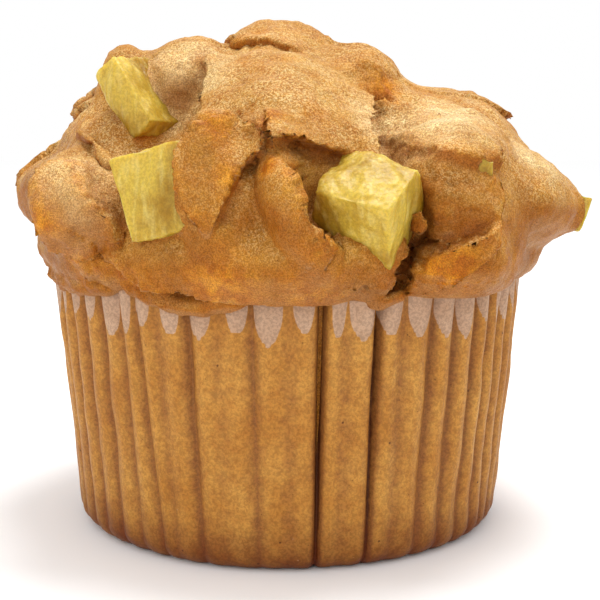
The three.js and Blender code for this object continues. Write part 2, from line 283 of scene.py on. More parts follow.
def dome_distance(points):
    """The crown's form, before its cracks and ridges."""
    distance = None
    for dome in DOMES.values():
        one = ellipsoid_distance(points, **dome)
        distance = one if distance is None else blended_min(distance, one, dome["blend"])
    for hollow in HOLLOWS.values():
        distance = blended_max(distance, -ellipsoid_distance(points, **hollow), HOLLOW_BLEND)
    return distance


def rays_to(azimuth, elevation):
    """Directions from the crown's centre."""
    a, e = np.radians(azimuth), np.radians(elevation)
    return np.stack([np.sin(a) * np.cos(e), -np.cos(a) * np.cos(e), np.sin(e)], axis=1)


def on_skin(rays):
    """Where rays from the crown's centre leave it."""
    reach = np.full(len(rays), WELL_OUTSIDE)
    for _ in range(60):
        reach -= 0.6 * dome_distance(CROWN_CENTRE + rays * reach[:, None])
    return CROWN_CENTRE + rays * reach[:, None]


def rounded(places):
    """The same line with its corners cut, so that it bends more gently."""
    places = np.array(places, float)
    first, second = 0.75 * places[:-1] + 0.25 * places[1:], 0.25 * places[:-1] + 0.75 * places[1:]
    middle = np.stack([first, second], axis=1).reshape(-1, places.shape[1])
    return np.concatenate([places[:1], middle, places[-1:]])


def unit(vectors):
    """The vectors at a length of 1."""
    return vectors / (np.linalg.norm(vectors, axis=-1, keepdims=True) + 1e-9)


class Scarp:
    """A step in the skin that runs along a line."""

    def __init__(self, places, raised, sunk, soft, reach, trough, ragged=1.0):
        places = rounded(places)
        self.rays = rays_to(places[:, 0], places[:, 1])
        self.points = on_skin(self.rays)
        self.raised, self.sunk, self.soft = raised, sunk, soft
        self.reach, self.trough, self.ragged = reach, trough, ragged
        step = np.diff(self.points, axis=0)
        left = unit(np.cross((self.rays[:-1] + self.rays[1:]) / 2, step))
        self.left = unit(np.concatenate([left[:1], left[:-1] + left[1:], left[-1:]]))
        self.length = np.concatenate([[0], np.cumsum(np.linalg.norm(step, axis=1))])
        margin = 3 * max(reach, trough)
        self.low, self.high = self.points.min(axis=0) - margin, self.points.max(axis=0) + margin

    def beside(self, points):
        """Signed way from the line, positive on the raised side, and a weight for its ends."""
        nearest = np.full(len(points), 1e6)
        across, along = np.zeros(len(points)), np.zeros(len(points))
        for i, step in enumerate(np.diff(self.points, axis=0)):
            off = points - self.points[i]
            t = np.clip(off @ step / (step @ step), 0, 1)
            off = off - t[:, None] * step
            out = unit((1 - t)[:, None] * self.rays[i] + t[:, None] * self.rays[i + 1])
            height = np.sum(off * out, axis=1)
            flat = off - out * height[:, None]
            size = np.sum(flat * flat, axis=1)
            side = np.sum(flat * ((1 - t)[:, None] * self.left[i] + t[:, None] * self.left[i + 1]), axis=1)
            closer = size < nearest
            nearest = np.where(closer, size, nearest)
            way = np.sign(side) * np.sqrt(size) + SCARP_OVERHANG * np.clip(height, -1.5, 1.5)
            across = np.where(closer, way, across)
            along = np.where(closer, self.length[i] + t * (self.length[i + 1] - self.length[i]), along)
        ends = np.minimum(along, self.length[-1] - along) / 2.5
        return across, np.clip(ends, 0, 1)


def scarp_relief(points):
    """Height that the scarps add, how near each point is to a raised lip, and how near to the low side
    under one, where shade is painted.
    """
    height, lip, under = (np.zeros(len(points), np.float32) for _ in range(3))
    for scarp in ALL_SCARPS:
        inside = np.flatnonzero(np.all((points > scarp.low) & (points < scarp.high), axis=1))
        if not len(inside):
            continue
        near = points[inside]
        across, weight = scarp.beside(near)
        across = across + scarp.ragged * (0.45 * noise(near, 3.1, 15) + 0.22 * noise(near, 1.1, 16))
        s = np.clip(across / scarp.soft / 2 + 0.5, 0, 1)
        s = s * s * (3 - 2 * s)
        proud = s * np.exp(-np.clip(across, 0, None) / scarp.reach)
        low = (1 - s) * np.exp(-np.clip(-across, 0, None) / scarp.trough)
        height[inside] += weight * (scarp.raised * proud - scarp.sunk * low)
        lip_here = s * np.exp(-np.clip(across, 0, None) / 0.9)
        # How far under a raised lip each point lies, which the crust's colour turns into painted shade.
        lip_shade_here = (1 - s) * np.exp(-np.clip(-across, 0, None) / 1.3) * min(scarp.sunk + 0.3, 1.2)
        lip[inside] = np.maximum(lip[inside], weight * lip_here)
        under[inside] = np.maximum(under[inside], weight * lip_shade_here)
    return height, lip, under


def patches(points, places):
    """1 at the middle of each patch of skin, falling to 0 at its edge."""
    places = np.array(places, float)
    middles = on_skin(rays_to(places[:, 0], places[:, 1]))
    share = np.zeros(len(points), np.float32)
    for middle, width in zip(middles, places[:, 2]):
        share = np.maximum(share, 1 - np.linalg.norm(points - middle, axis=1) / width)
    return share


def rim_chain(places):
    """A chain that follows the case's rim, from azimuth, height and thickness."""
    azimuth, height, thickness = np.array(places, float).T
    radius = wall_radius(height) + RUNOVER_OUT
    x, y = radius * np.sin(np.radians(azimuth)), -radius * np.cos(np.radians(azimuth))
    return np.stack([x, y, height, thickness], axis=1).astype(np.float32)


class SolidField:
    """Distance to the skin of a CAD node's mesh, read from a grid of samples."""

    STEP = 0.4  # spacing of the samples
    BAND = 6  # how many samples deep the distances are known

    def __init__(self, node):
        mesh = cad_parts[node].data
        mesh.calc_loop_triangles()
        points = np.array([vertex.co for vertex in mesh.vertices]) / MM
        triangles = np.array([triangle.vertices for triangle in mesh.loop_triangles], np.uint32)
        spacing = openvdb.createLinearTransform(self.STEP)
        grid = openvdb.FloatGrid.createLevelSetFromPolygons(
            points, triangles=triangles, transform=spacing, halfWidth=self.BAND)
        self.far = self.BAND * self.STEP
        self.low = np.floor(points.min(axis=0) / self.STEP).astype(int) - self.BAND - 1
        high = np.ceil(points.max(axis=0) / self.STEP).astype(int) + self.BAND + 1
        self.samples = np.full(high - self.low, self.far, np.float32)
        grid.copyToArray(self.samples, ijk=tuple(int(i) for i in self.low))

    def distance(self, points):
        place = points / self.STEP - self.low
        inside = np.all((place >= 0) & (place < np.array(self.samples.shape) - 1.001), axis=1)
        result = np.full(len(points), self.far, np.float32)
        cell = place[inside].astype(int)
        t = place[inside] - cell
        total = np.zeros(len(cell))
        for corner in np.ndindex(2, 2, 2):
            share = np.prod(np.where(corner, t, 1 - t), axis=1)
            total += share * self.samples[tuple((cell + corner).T)]
        result[inside] = total
        return result


ALL_SCARPS = [Scarp(**scarp) for scarp in SCARPS.values()]
DICE_FIELDS = {node: SolidField(node) for node in DICE}
DOUGH_CLIMB = 0.7  # how far under each dice's skin the dough that climbs it ends
DOUGH_CLIMB_WANDER = 0.35
COVERED_DICE = "apple_dice_under_skin"
COVER = 0.3  # thickness of the skin over it
BARE_SPOT = on_skin(rays_to([38], [13]))[0]  # the only place where it shows
BARE_RADIUS = 1.1
FOOT_INSET = 1.8  # from the outside of the case to the crumb in it
FOOT_BOTTOM = 0.8
FOOT_TOP = 33  # inside the crown, so that the two are one
RUNOVER_CHAINS = [rim_chain(places) for places in RUNOVER]


def crumb_distance(points):
    """The whole crumb: crown, split layers, and the foot that fills the case."""
    distance = dome_distance(points) - scarp_relief(points)[0]
    distance = blended_max(distance, CROWN_FLOOR - points[:, 2], 1.2)
    ragged = 0.3 * noise(points, 1.2, 17)
    for chain in RUNOVER_CHAINS:
        distance = blended_min(distance, chain_distance(points, chain) + ragged, 0.8)
    distance = blended_min(distance, chain_distance(points, STRAND), 0.6)
    climb = DOUGH_CLIMB + DOUGH_CLIMB_WANDER * noise(points, 2.0, 18)
    for dice in DICE_FIELDS.values():
        distance = blended_min(distance, dice.distance(points) + climb, 1.8)
    bare = BARE_RADIUS + climb - np.linalg.norm(points - BARE_SPOT, axis=1)
    cover = np.maximum(DICE_FIELDS[COVERED_DICE].distance(points) - COVER, bare)
    distance = blended_min(distance, cover, 1.0)
    foot = np.hypot(points[:, 0], points[:, 1]) - (wall_radius(points[:, 2]) - FOOT_INSET)
    foot = np.maximum(foot, np.maximum(FOOT_BOTTOM - points[:, 2], points[:, 2] - FOOT_TOP))
    return np.minimum(distance, foot)


# ---- Meshing ----

def voxel_skin(distance, low, high, voxel, block=5):
    """Points and quads on the zero surface of a distance function, sampled only near it."""
    blocks = np.ceil((high - low) / (voxel * block)).astype(int)
    middle = (np.indices(blocks).reshape(3, -1).T + 0.5) * block * voxel + low
    coarse = distance(middle.astype(np.float32)).reshape(blocks)
    near = np.abs(coarse) < block * voxel * 1.4
    sign = np.where(coarse < 0, -1.0, 1.0)
    field = np.kron(sign * 3 * voxel, np.ones((block,) * 3)).astype(np.float32)
    inside_block = np.indices((block,) * 3).reshape(3, -1).T
    cells = (np.argwhere(near)[:, None] * block + inside_block).reshape(-1, 3)
    values = distance((cells * voxel + low).astype(np.float32))
    field[tuple(cells.T)] = np.clip(values, -3 * voxel, 3 * voxel)
    grid = openvdb.FloatGrid(background=3 * voxel)
    grid.copyFromArray(field)
    points, quads = grid.convertToQuads(isovalue=0)
    return points * voxel + low, quads[:, ::-1]


def gradient(distance, points, step=0.05):
    """A distance and its slope along each axis."""
    here = distance(points)
    sides = [distance(points + step * np.eye(3, dtype=np.float32)[i]) - here for i in range(3)]
    return here, np.stack(sides, axis=1) / step


def settle(distance, points, rounds=2):
    """Points moved onto the zero surface, and the surface's outward direction there."""
    for _ in range(rounds):
        here, slope = gradient(distance, points)
        length = np.linalg.norm(slope, axis=1) + 1e-6
        move = np.clip(here / length, -0.3, 0.3)
        points = points - slope / length[:, None] * move[:, None]
    _, slope = gradient(distance, points)
    return points, slope / (np.linalg.norm(slope, axis=1, keepdims=True) + 1e-6)


def make_object(name, points, faces):
    """A smooth-shaded mesh object from points in millimetres."""
    mesh = bpy.data.meshes.new(name)
    mesh.from_pydata((np.asarray(points) * MM).tolist(), [], [list(face) for face in faces])
    mesh.polygons.foreach_set("use_smooth", [True] * len(mesh.polygons))
    obj = bpy.data.objects.new(name, mesh)
    bpy.context.scene.collection.objects.link(obj)
    return obj


def paint(obj, name, values):
    """Stores one number per vertex for the materials to read."""
    attribute = obj.data.attributes.new(name, "FLOAT", "POINT")
    attribute.data.foreach_set("value", np.asarray(values, np.float32))


# ---- Crumb ----

CRUMB_VOXEL = 0.36
CRUMB_MARGIN = 2.5  # room around the CAD crumb for relief
HOLLOW_SHADE_REACHES = (1, 3, 6)  # how far off neighbouring crust is looked for


def crumb_relief(points, torn):
    """Height of the crumb's finer forms."""
    relief = 0.4 * lumpy(points, 8, 21, octaves=2)  # broad swellings
    relief += 0.7 * np.abs(noise(points, 7, 25)) - 0.2  # soft creases
    relief += (0.16 + 0.2 * torn) * lumpy(points, 2.6, 31, octaves=3)  # small lumps
    relief += (0.05 + 0.35 * torn) * noise(points, 0.9, 41)  # crumbs
    relief -= (0.14 + 0.4 * torn) * pits(points, 1.9, 51)  # pores
    return relief


def make_crumb():
    """The baked crumb, with numbers stored on it that say how each place has baked and where painted shade
    falls in its hollows and under its lips.
    """
    low, high = node_box("crumb")
    points, quads = voxel_skin(crumb_distance, low - CRUMB_MARGIN, high + CRUMB_MARGIN, CRUMB_VOXEL)
    points, normal = settle(crumb_distance, points.astype(np.float32))

    _, lip, under = scarp_relief(points)
    torn = np.clip(1.3 * patches(points, CRUMBLY) + 0.35 * noise(points, 2.2, 35), 0, 1)
    runover = np.min([chain_distance(points, chain) for chain in RUNOVER_CHAINS], axis=0)
    # The low side under each lip counts as torn too, so its darker crumb colour there is partly painted
    # shade.
    torn = np.max([torn, 0.8 * under, np.clip(1 - runover, 0, 1)], axis=0)
    toast = np.clip(1.3 * patches(points, TOASTED) + 0.4 * noise(points, 3, 36), 0, 1)
    # How closed in each place is by crust around it; the crust's colour darkens with this, partly as damp
    # crumb and partly as painted shade.
    hollow_damp_and_shade = sum(np.clip((reach - crumb_distance(points + normal * reach)) / reach, 0, 1)
                  for reach in HOLLOW_SHADE_REACHES)

    # The relief fades out in the case, and near the dice so that none of it covers them.
    crown = np.clip((points[:, 2] - CROWN_FLOOR) / 1.5, 0, 1)
    off_dice = np.min([dice.distance(points) for dice in DICE_FIELDS.values()], axis=0)
    clear = np.clip((off_dice + 0.2) / 0.8, 0, 1)
    points = points + normal * (crumb_relief(points, torn) * crown * clear)[:, None]

    crumb = make_object("crumb_baked", points, quads)
    paint(crumb, "hollow_damp_and_shade", hollow_damp_and_shade / len(HOLLOW_SHADE_REACHES))
    paint(crumb, "lip", lip)
    paint(crumb, "under", under)
    paint(crumb, "torn", torn)
    paint(crumb, "toast", toast)
    paint(crumb, "upward", normal[:, 2])
    paint(crumb, "sugared", np.clip(1.4 * patches(points, SUGARED), 0, 1))
    paint(crumb, "dull", np.clip(1.5 * patches(points, DULL), 0, 1))
    return crumb


# ---- Paper case ----

COLUMNS = 960  # points around the case
FOOT_ROWS = 8  # rows of points up the rounded foot
WALL_ROWS = 56  # rows of points up the wall
LINING_ROWS = 10
PAPER = 0.16  # thickness of the paper
FOLD_DEPTH = 1.0  # valleys behind the front ones: usual depth
FOLD_PITCH = 7.5  # and degrees from one to the next
DEEPEST_FOLD = 1.15  # a valley listed as deeper is cut off here
SLOT_FROM = 1.3  # a valley listed as deeper than this gets a narrow slot as well
SLOT_WIDTH = 0.75  # degrees
SLOT_DEPTH = 2.2

# Valleys between the flutes at the front: azimuth at mid height, depth in mm, and how far the
# fold leans over the case's height, in degrees.
FRONT_FOLDS = [
    (-62, 1.0, 0.5), (-55, 0.9, 1.0), (-47.5, 1.0, 1.0), (-40, 0.8, 1.5), (-34, 0.9, 4.0), (-29, 0.5, 2.5),
    (-21.5, 1.1, 1.5), (-14.6, 0.35, 0.5), (-7, 0.8, 1.0), (0.5, 0.35, 0.0), (7.6, 1.9, -0.8),
    (13.2, 0.4, -0.5), (20.4, 1.7, -1.0), (26.5, 0.6, -1.0), (34.6, 1.2, -1.5), (41.8, 1.1, -1.0),
    (49.2, 1.1, -1.0), (55.1, 1.0, -0.5), (61, 1.0, -0.5), (67, 1.0, 0.0), (73, 1.0, 0.0),
]


def fold_list():
    """All the folds round the case: the front ones, then evenly spaced ones behind."""
    first, last = FRONT_FOLDS[0][0], FRONT_FOLDS[-1][0]
    count = round((360 + first - last) / FOLD_PITCH)
    wander = np.random.default_rng(7).uniform(-1, 1, (count, 3))
    behind = []
    for i in range(1, count):
        azimuth = last + (360 + first - last) * i / count + wander[i, 0]
        behind.append((azimuth, FOLD_DEPTH + 0.25 * wander[i, 1], 1.2 * wander[i, 2]))
    return np.array(FRONT_FOLDS + behind)


FOLDS = fold_list()


def fold_profile(azimuth, height):
    """How far the paper lies inside its ridges, and the way across the flute (-1 to 1)."""
    lean = (height / CASE_HEIGHT - 0.5)[:, None] * FOLDS[:, 2]
    off = (azimuth[:, None] - (FOLDS[:, 0] - lean) + 180) % 360 - 180
    nearest_left = np.where(off >= 0, off, 999).argmin(axis=1)
    nearest_right = np.where(off < 0, -off, 999).argmin(axis=1)
    rows = np.arange(len(azimuth))
    left, right = off[rows, nearest_left], -off[rows, nearest_right]
    across = (left - right) / (left + right)
    share = (1 + across) / 2
    depth_left, depth_right = FOLDS[nearest_left, 1], FOLDS[nearest_right, 1]
    near = np.minimum(left, right) / (left + right) * 2
    depth = depth_left * (1 - share) + depth_right * share
    valley = (1 - near) ** (1.2 + 0.8 * np.clip(depth, 0, 1.2))
    sharp = np.where(left < right, depth_left, depth_right) - SLOT_FROM
    narrow = np.exp(-(np.minimum(left, right) / SLOT_WIDTH) ** 2)
    slot = np.clip(sharp, 0, None) * SLOT_DEPTH * narrow
    return np.minimum(depth, DEEPEST_FOLD) * valley + slot, across, nearest_left


def case_grid():
    """Azimuth, height and inward tuck of each point of the outer skin, row by row."""
    angles = np.linspace(-180, 180, COLUMNS, endpoint=False)
    foot = np.linspace(0, 1, FOOT_ROWS + 1)[:-1]
    wall = np.linspace(0, 1, WALL_ROWS)
    heights = np.concatenate([FOOT_ROUNDING * (1 - np.cos(foot * math.pi / 2)),
                              FOOT_ROUNDING + (CASE_HEIGHT - FOOT_ROUNDING) * wall])
    inset = np.concatenate([FOOT_ROUNDING * (1 - np.sin(foot * math.pi / 2)), np.zeros(WALL_ROWS)])
    azimuth, height = (grid.ravel() for grid in np.meshgrid(angles, heights))
    return azimuth, height, np.repeat(inset, COLUMNS)


def case_lining(outer):
    """Rows of points one paper thickness inside the outer skin, from the rim down."""
    rows = outer.reshape(-1, COLUMNS, 3)
    lining = rows[::-1][:: len(rows) // LINING_ROWS].copy()
    lining[..., :2] *= 1 - PAPER / RIM_RADIUS
    lining[..., 2] = np.clip(lining[..., 2], PAPER, None)
    return lining.reshape(-1, 3)


def case_faces(count):
    """Quads between the rows of points, and triangles that close the foot on both sides."""
    j, i = np.meshgrid(np.arange(count - 1), np.arange(COLUMNS), indexing="ij")
    right = (i + 1) % COLUMNS
    quads = np.stack([j * COLUMNS + i, j * COLUMNS + right,
                      (j + 1) * COLUMNS + right, (j + 1) * COLUMNS + i], axis=-1).reshape(-1, 4)
    middle_below = count * COLUMNS
    middle_inside = middle_below + 1
    last = (count - 1) * COLUMNS
    below = [(middle_below, (n + 1) % COLUMNS, n) for n in range(COLUMNS)]
    inside = [(middle_inside, last + n, last + (n + 1) % COLUMNS) for n in range(COLUMNS)]
    return quads.tolist() + below + inside


def dry_tips(height, across, fold, wavy):
    """1 on the pale tips of the flutes, where the paper has stayed dry, and 0 elsewhere."""
    rng = np.random.default_rng(3)
    drop = rng.uniform(3.6, 5.8, len(FOLDS))
    half = rng.uniform(0.55, 1.0, len(FOLDS))
    aside = rng.uniform(-0.3, 0.3, len(FOLDS))
    down = np.clip(CASE_HEIGHT - height, 0, None) / drop[fold]
    width = half[fold] * np.sqrt(np.clip(1 - down ** 2.4, 0, None))
    dry = width - np.abs(across - aside[fold]) + 0.06 * wavy
    return np.clip(0.5 + np.where(down < 1, dry, -1) * 5, 0, 1)


def make_case():
    """The paper case: an outer skin, a lining one paper thickness inside it, closed at the rim."""
    azimuth, height, tuck = case_grid()
    flute, across, fold = fold_profile(azimuth, height)
    fade = 0.35 + 0.65 * np.clip(height / 22, 0, 1)  # the folds are shallower near the foot
    ridge_points = np.stack([azimuth / 6, height / 3, np.zeros_like(azimuth)], axis=1)
    dents = 0.16 * lumpy(ridge_points, 2.0, 61, octaves=2)
    radius = wall_radius(height) - tuck - flute * fade + dents
    a = np.radians(azimuth)
    outer = np.stack([radius * np.sin(a), -radius * np.cos(a), height], axis=1)

    rows = np.concatenate([outer, case_lining(outer)])
    points = np.concatenate([rows, [[0, 0, 0], [0, 0, PAPER]]])
    case = make_object("case_fluted", points, case_faces(len(rows) // COLUMNS))

    wavy = lumpy(ridge_points * [6, 2, 1], 1.6, 71, octaves=2)
    dry, valley = np.zeros(len(points)), np.zeros(len(points))
    dry[: len(outer)] = dry_tips(height, across, fold, wavy)
    # How deep each fold lies, which the paper's colour turns into painted shade.
    valley[: len(outer)] = np.clip(flute / 0.9, 0, 3)
    paint(case, "dry", dry)
    paint(case, "valley", valley)
    return case


# ---- Apple dice ----

DICE_CUTS = 7  # each facet's edge is cut this often
DICE_SOFTENING = 80  # rounds of smoothing


def make_dice(node):
    """A soft, fibrous piece of cooked apple, on the shape of its CAD node."""
    bm = bmesh.new()
    bm.from_mesh(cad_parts[node].data)
    bmesh.ops.remove_doubles(bm, verts=bm.verts, dist=0.01 * MM)
    bmesh.ops.subdivide_edges(bm, edges=bm.edges, cuts=DICE_CUTS, use_grid_fill=True)
    sharp = np.array([vertex.co for vertex in bm.verts]) / MM
    for _ in range(DICE_SOFTENING):
        bmesh.ops.smooth_vert(bm, verts=bm.verts, factor=0.5)
    points = np.array([vertex.co for vertex in bm.verts]) / MM
    normal = np.array([vertex.normal for vertex in bm.verts])
    edge_rounding = np.linalg.norm(sharp - points, axis=1)  # most at the edges and corners
    fibre = points @ np.array([[1, 0.3, 0], [-0.3, 1, 0.4], [0, -0.2, 0.25]])
    relief = 0.35 * lumpy(points, 4.5, 81, octaves=2)
    relief += 0.15 * lumpy(fibre, 0.9, 91, octaves=2)
    points = points + normal * relief[:, None]

    mesh = bpy.data.meshes.new(node + "_cooked")
    bm.to_mesh(mesh)
    bm.free()
    mesh.vertices.foreach_set("co", (points * MM).ravel())
    mesh.polygons.foreach_set("use_smooth", [True] * len(mesh.polygons))
    piece = bpy.data.objects.new(node + "_cooked", mesh)
    bpy.context.scene.collection.objects.link(piece)
    paint(piece, "rim", np.clip(edge_rounding / 0.7, 0, 1))
    paint(piece, "bared", dome_distance(points))
    return piece


# ---- Materials ----

def srgb(red, green, blue):
    """Screen colour 0 to 255 as the linear colour that shaders use."""
    linear = [((c / 255 + 0.055) / 1.055) ** 2.4 for c in (red, green, blue)]
    return (*linear, 1)


class Shader:
    """A material's node tree, built node by node."""

    def __init__(self, name):
        self.material = bpy.data.materials.new(name)
        self.material.use_nodes = True
        self.tree = self.material.node_tree
        self.surface = self.tree.nodes["Principled BSDF"]
        self.place = self.tree.nodes.new("ShaderNodeTexCoord").outputs["Object"]

    def node(self, kind, inputs=None, **settings):
        """A new node with its settings, and its inputs by name or number."""
        node = self.tree.nodes.new(kind)
        for key, value in settings.items():
            setattr(node, key, value)
        for key, value in (inputs or {}).items():
            self.plug(node.inputs[key], value)
        return node

    def plug(self, socket, value):
        if isinstance(value, bpy.types.NodeSocket):
            self.tree.links.new(value, socket)
        else:
            socket.default_value = value

    def set(self, **values):
        """Sets inputs of the surface, named with _ for each space."""
        for key, value in values.items():
            self.plug(self.surface.inputs[key.replace("_", " ")], value)

    def attribute(self, name):
        """A number that was painted on the mesh."""
        return self.node("ShaderNodeAttribute", attribute_name=name).outputs["Fac"]

    def noise(self, size_mm, detail=3.0, roughness=0.55, stretch=None):
        place = self.place
        if stretch:
            place = self.node("ShaderNodeMapping", {"Vector": place, "Scale": stretch}).outputs[0]
        inputs = {"Vector": place, "Scale": 1 / (size_mm * MM), "Detail": detail, "Roughness": roughness}
        return self.node("ShaderNodeTexNoise", inputs).outputs["Fac"]

    def spots(self, size_mm):
        """Distance from the nearest of scattered points."""
        inputs = {"Vector": self.place, "Scale": 1 / (size_mm * MM)}
        return self.node("ShaderNodeTexVoronoi", inputs).outputs["Distance"]

    def ramp(self, value, low, high, to_low=0.0, to_high=1.0):
        """The value stretched from one range to another, and kept inside it."""
        inputs = {"Value": value, "From Min": low, "From Max": high,
                  "To Min": to_low, "To Max": to_high}
        return self.node("ShaderNodeMapRange", inputs).outputs["Result"]

    def specks(self, apart_mm, size):
        """Ragged flecks; size is their width as a share of how far apart they are."""
        ragged = self.math("MULTIPLY", self.noise(apart_mm / 5, detail=2), size)
        return self.ramp(self.math("ADD", self.spots(apart_mm), ragged), size, 0.75 * size)

    def grainy(self, colour, size_mm, dark, light):
        """The colour made lighter and darker in fine grains."""
        grain = self.ramp(self.noise(size_mm, detail=2, roughness=0.7), 0.42, 0.58, dark, light)
        return self.mix(1.0, colour, grain, blend="MULTIPLY")

    def math(self, operation, a, b=0.0):
        return self.node("ShaderNodeMath", {0: a, 1: b}, operation=operation).outputs[0]

    def mix(self, factor, a, b, blend="MIX"):
        node = self.tree.nodes.new("ShaderNodeMix")
        node.data_type = "RGBA"
        node.blend_type = blend
        self.plug(node.inputs[0], factor)
        self.plug(node.inputs[6], a)
        self.plug(node.inputs[7], b)
        return node.outputs[2]

    def bump(self, height, distance_mm, strength=1.0, under=None):
        inputs = {"Height": height, "Distance": distance_mm * MM, "Strength": strength}
        if under is not None:
            inputs["Normal"] = under
        return self.node("ShaderNodeBump", inputs).outputs["Normal"]


def crust_colour(s):
    """Brown on the sides, paler and sugared on top, orange at the lips, and with painted shade in the
    cracks, hollows and under the lips.
    """
    lip, under, torn = s.attribute("lip"), s.attribute("under"), s.attribute("torn")
    upward, hollow_damp_and_shade, toast = s.attribute("upward"), s.attribute("hollow_damp_and_shade"), s.attribute("toast")
    sugared, dull = s.attribute("sugared"), s.attribute("dull")

    # The skin itself.
    patches = s.ramp(s.noise(8, detail=3), 0.38, 0.62)
    colour = s.mix(patches, srgb(168, 110, 38), srgb(184, 130, 52))
    colour = s.mix(s.ramp(upward, 0.3, -0.1, 0, 0.8), colour, srgb(150, 84, 14))
    colour = s.mix(s.ramp(upward, 0.4, 0.9, 0, 0.5), colour, srgb(176, 126, 60))
    mottle = s.ramp(s.noise(1.5, detail=5, roughness=0.65), 0.44, 0.62)
    colour = s.mix(s.math("MULTIPLY", mottle, 0.4), colour, srgb(154, 96, 34))

    # Sugar, mostly on what faces up.
    sugar = s.ramp(s.noise(0.3, detail=3, roughness=0.7), 0.45, 0.6)
    sugar = s.math("MULTIPLY", sugar, s.ramp(upward, 0.0, 0.7, 0.1, 0.7))
    scattered = s.ramp(s.noise(6, detail=3), 0.35, 0.6, 0.2, 0.6)
    sugar = s.math("MULTIPLY", sugar, s.math("ADD", scattered, s.math("MULTIPLY", sugared, 0.5)))
    colour = s.mix(s.math("MULTIPLY", sugared, 0.5), colour, srgb(216, 188, 140))
    colour = s.mix(sugar, colour, srgb(242, 216, 160))

    # Orange toasting, on its patches and along some lips.
    some_lips = s.math("MULTIPLY", lip, s.ramp(s.noise(4, detail=2), 0.42, 0.6))
    browned = s.math("MAXIMUM", toast, some_lips)
    uneven = s.ramp(s.noise(1.6, detail=5, roughness=0.65), 0.42, 0.6)
    orange = s.mix(uneven, srgb(168, 92, 14), srgb(208, 136, 30))
    colour = s.mix(s.math("MULTIPLY", browned, 0.85), colour, orange)

    # Torn and dull places, and painted shade in the hollows and under the lips.
    colour = s.mix(s.ramp(torn, 0.2, 1.0, 0, 0.4), colour, srgb(150, 92, 32))
    streak = s.ramp(s.noise(1.6, detail=3, stretch=(1.0, 1.0, 0.2)), 0.35, 0.65, 0.35, 0.85)
    colour = s.mix(s.math("MULTIPLY", dull, streak), colour, srgb(154, 110, 74))
    colour = s.mix(s.ramp(upward, -0.3, -0.7, 0, 0.5), colour, srgb(166, 122, 82))
    # Painted shade in the hollows, partly damp crumb as well.
    colour = s.mix(s.ramp(hollow_damp_and_shade, 0.4, 1.0, 0, 0.45), colour, srgb(140, 76, 20))
    # Painted shade on the low side under each lip.
    colour = s.mix(s.ramp(under, 0.25, 0.95, 0, 0.75), colour, srgb(140, 74, 24))

    # Specks of spice, blotches and grain.
    colour = s.mix(s.math("MULTIPLY", s.specks(1.2, 0.16), 0.7), colour, srgb(82, 36, 10))
    blotch = s.ramp(s.noise(2.6, detail=4, roughness=0.6), 0.36, 0.64)
    blotch = s.mix(blotch, (0.88, 0.8, 0.64, 1), (1.0, 1.06, 1.08, 1))
    colour = s.mix(1.0, colour, blotch, blend="MULTIPLY")
    return s.grainy(colour, 0.15, 0.76, 1.24)


def crust_material():
    s = Shader("crust")
    s.set(Base_Color=crust_colour(s))
    s.set(Roughness=s.ramp(s.noise(1.2, detail=3), 0.35, 0.7, 0.4, 0.7), Specular_IOR_Level=0.12)
    s.set(Subsurface_Weight=0.08, Subsurface_Radius=(1.0, 0.5, 0.1), Subsurface_Scale=1.2 * MM)
    rough = s.ramp(s.noise(7, detail=2), 0.4, 0.6, 0.5, 1.0)
    grain = s.bump(s.noise(0.32, detail=3, roughness=0.7), 0.25, strength=rough)
    s.set(Normal=s.bump(s.noise(1.2, detail=3), 0.35, strength=0.8, under=grain))
    return s.material


def paper_colour(s):
    """Paper soaked brown by the crumb, with painted shade in the folds, darker at the foot, and with dry
    pale tips.
    """
    place = s.node("ShaderNodeSeparateXYZ", {0: s.place})
    height = s.math("MULTIPLY", place.outputs["Z"], 1 / MM)
    cloud = s.ramp(s.noise(6, detail=4), 0.35, 0.66)
    colour = s.mix(cloud, srgb(168, 112, 44), srgb(184, 132, 60))
    mottle = s.ramp(s.noise(0.9, detail=5, roughness=0.65), 0.42, 0.68, 0, 0.5)
    colour = s.mix(mottle, colour, srgb(142, 84, 28))

    # Painted shade in the valleys and slots between the flutes, and darker towards the foot.
    uneven = s.ramp(s.noise(1.4, detail=4), 0.3, 0.7, -0.25, 0.25)
    valley = s.math("ADD", s.attribute("valley"), uneven)
    colour = s.mix(s.ramp(valley, 0.1, 0.9, 0, 0.75), colour, srgb(122, 72, 38))
    # The deepest slots are painted almost black as shade.
    colour = s.mix(s.ramp(valley, 1.5, 2.0, 0, 0.9), colour, srgb(74, 32, 12))
    foot = s.math("ADD", height, s.ramp(s.noise(5, detail=3), 0.3, 0.7, -1.5, 1.5))
    colour = s.mix(s.ramp(foot, 6.0, 0.0, 0, 0.85), colour, srgb(98, 40, 12))

    # Specks, and pale scuffs near the foot.
    colour = s.mix(s.math("MULTIPLY", s.specks(1.1, 0.15), 0.6), colour, srgb(88, 42, 16))
    colour = s.mix(s.math("MULTIPLY", s.specks(2.7, 0.12), 0.8), colour, srgb(72, 30, 12))
    scuff = s.math("MULTIPLY", s.specks(2.4, 0.1), s.ramp(height, 12, 2))
    colour = s.mix(s.math("MULTIPLY", scuff, 0.5), colour, srgb(196, 166, 138))

    dry = s.ramp(s.attribute("dry"), 0.4, 0.6)
    pale = s.mix(s.noise(2, detail=3), srgb(160, 126, 100), srgb(184, 154, 130))
    colour = s.mix(s.math("MULTIPLY", dry, 0.9), colour, pale)
    return s.grainy(colour, 0.3, 0.84, 1.14)


def paper_material():
    s = Shader("case_paper")
    s.set(Base_Color=paper_colour(s), Specular_IOR_Level=0.15)
    s.set(Roughness=s.ramp(s.attribute("dry"), 0.4, 0.6, 0.5, 0.6))
    s.set(Normal=s.bump(s.noise(0.45, detail=2), 0.06, strength=0.6))
    return s.material


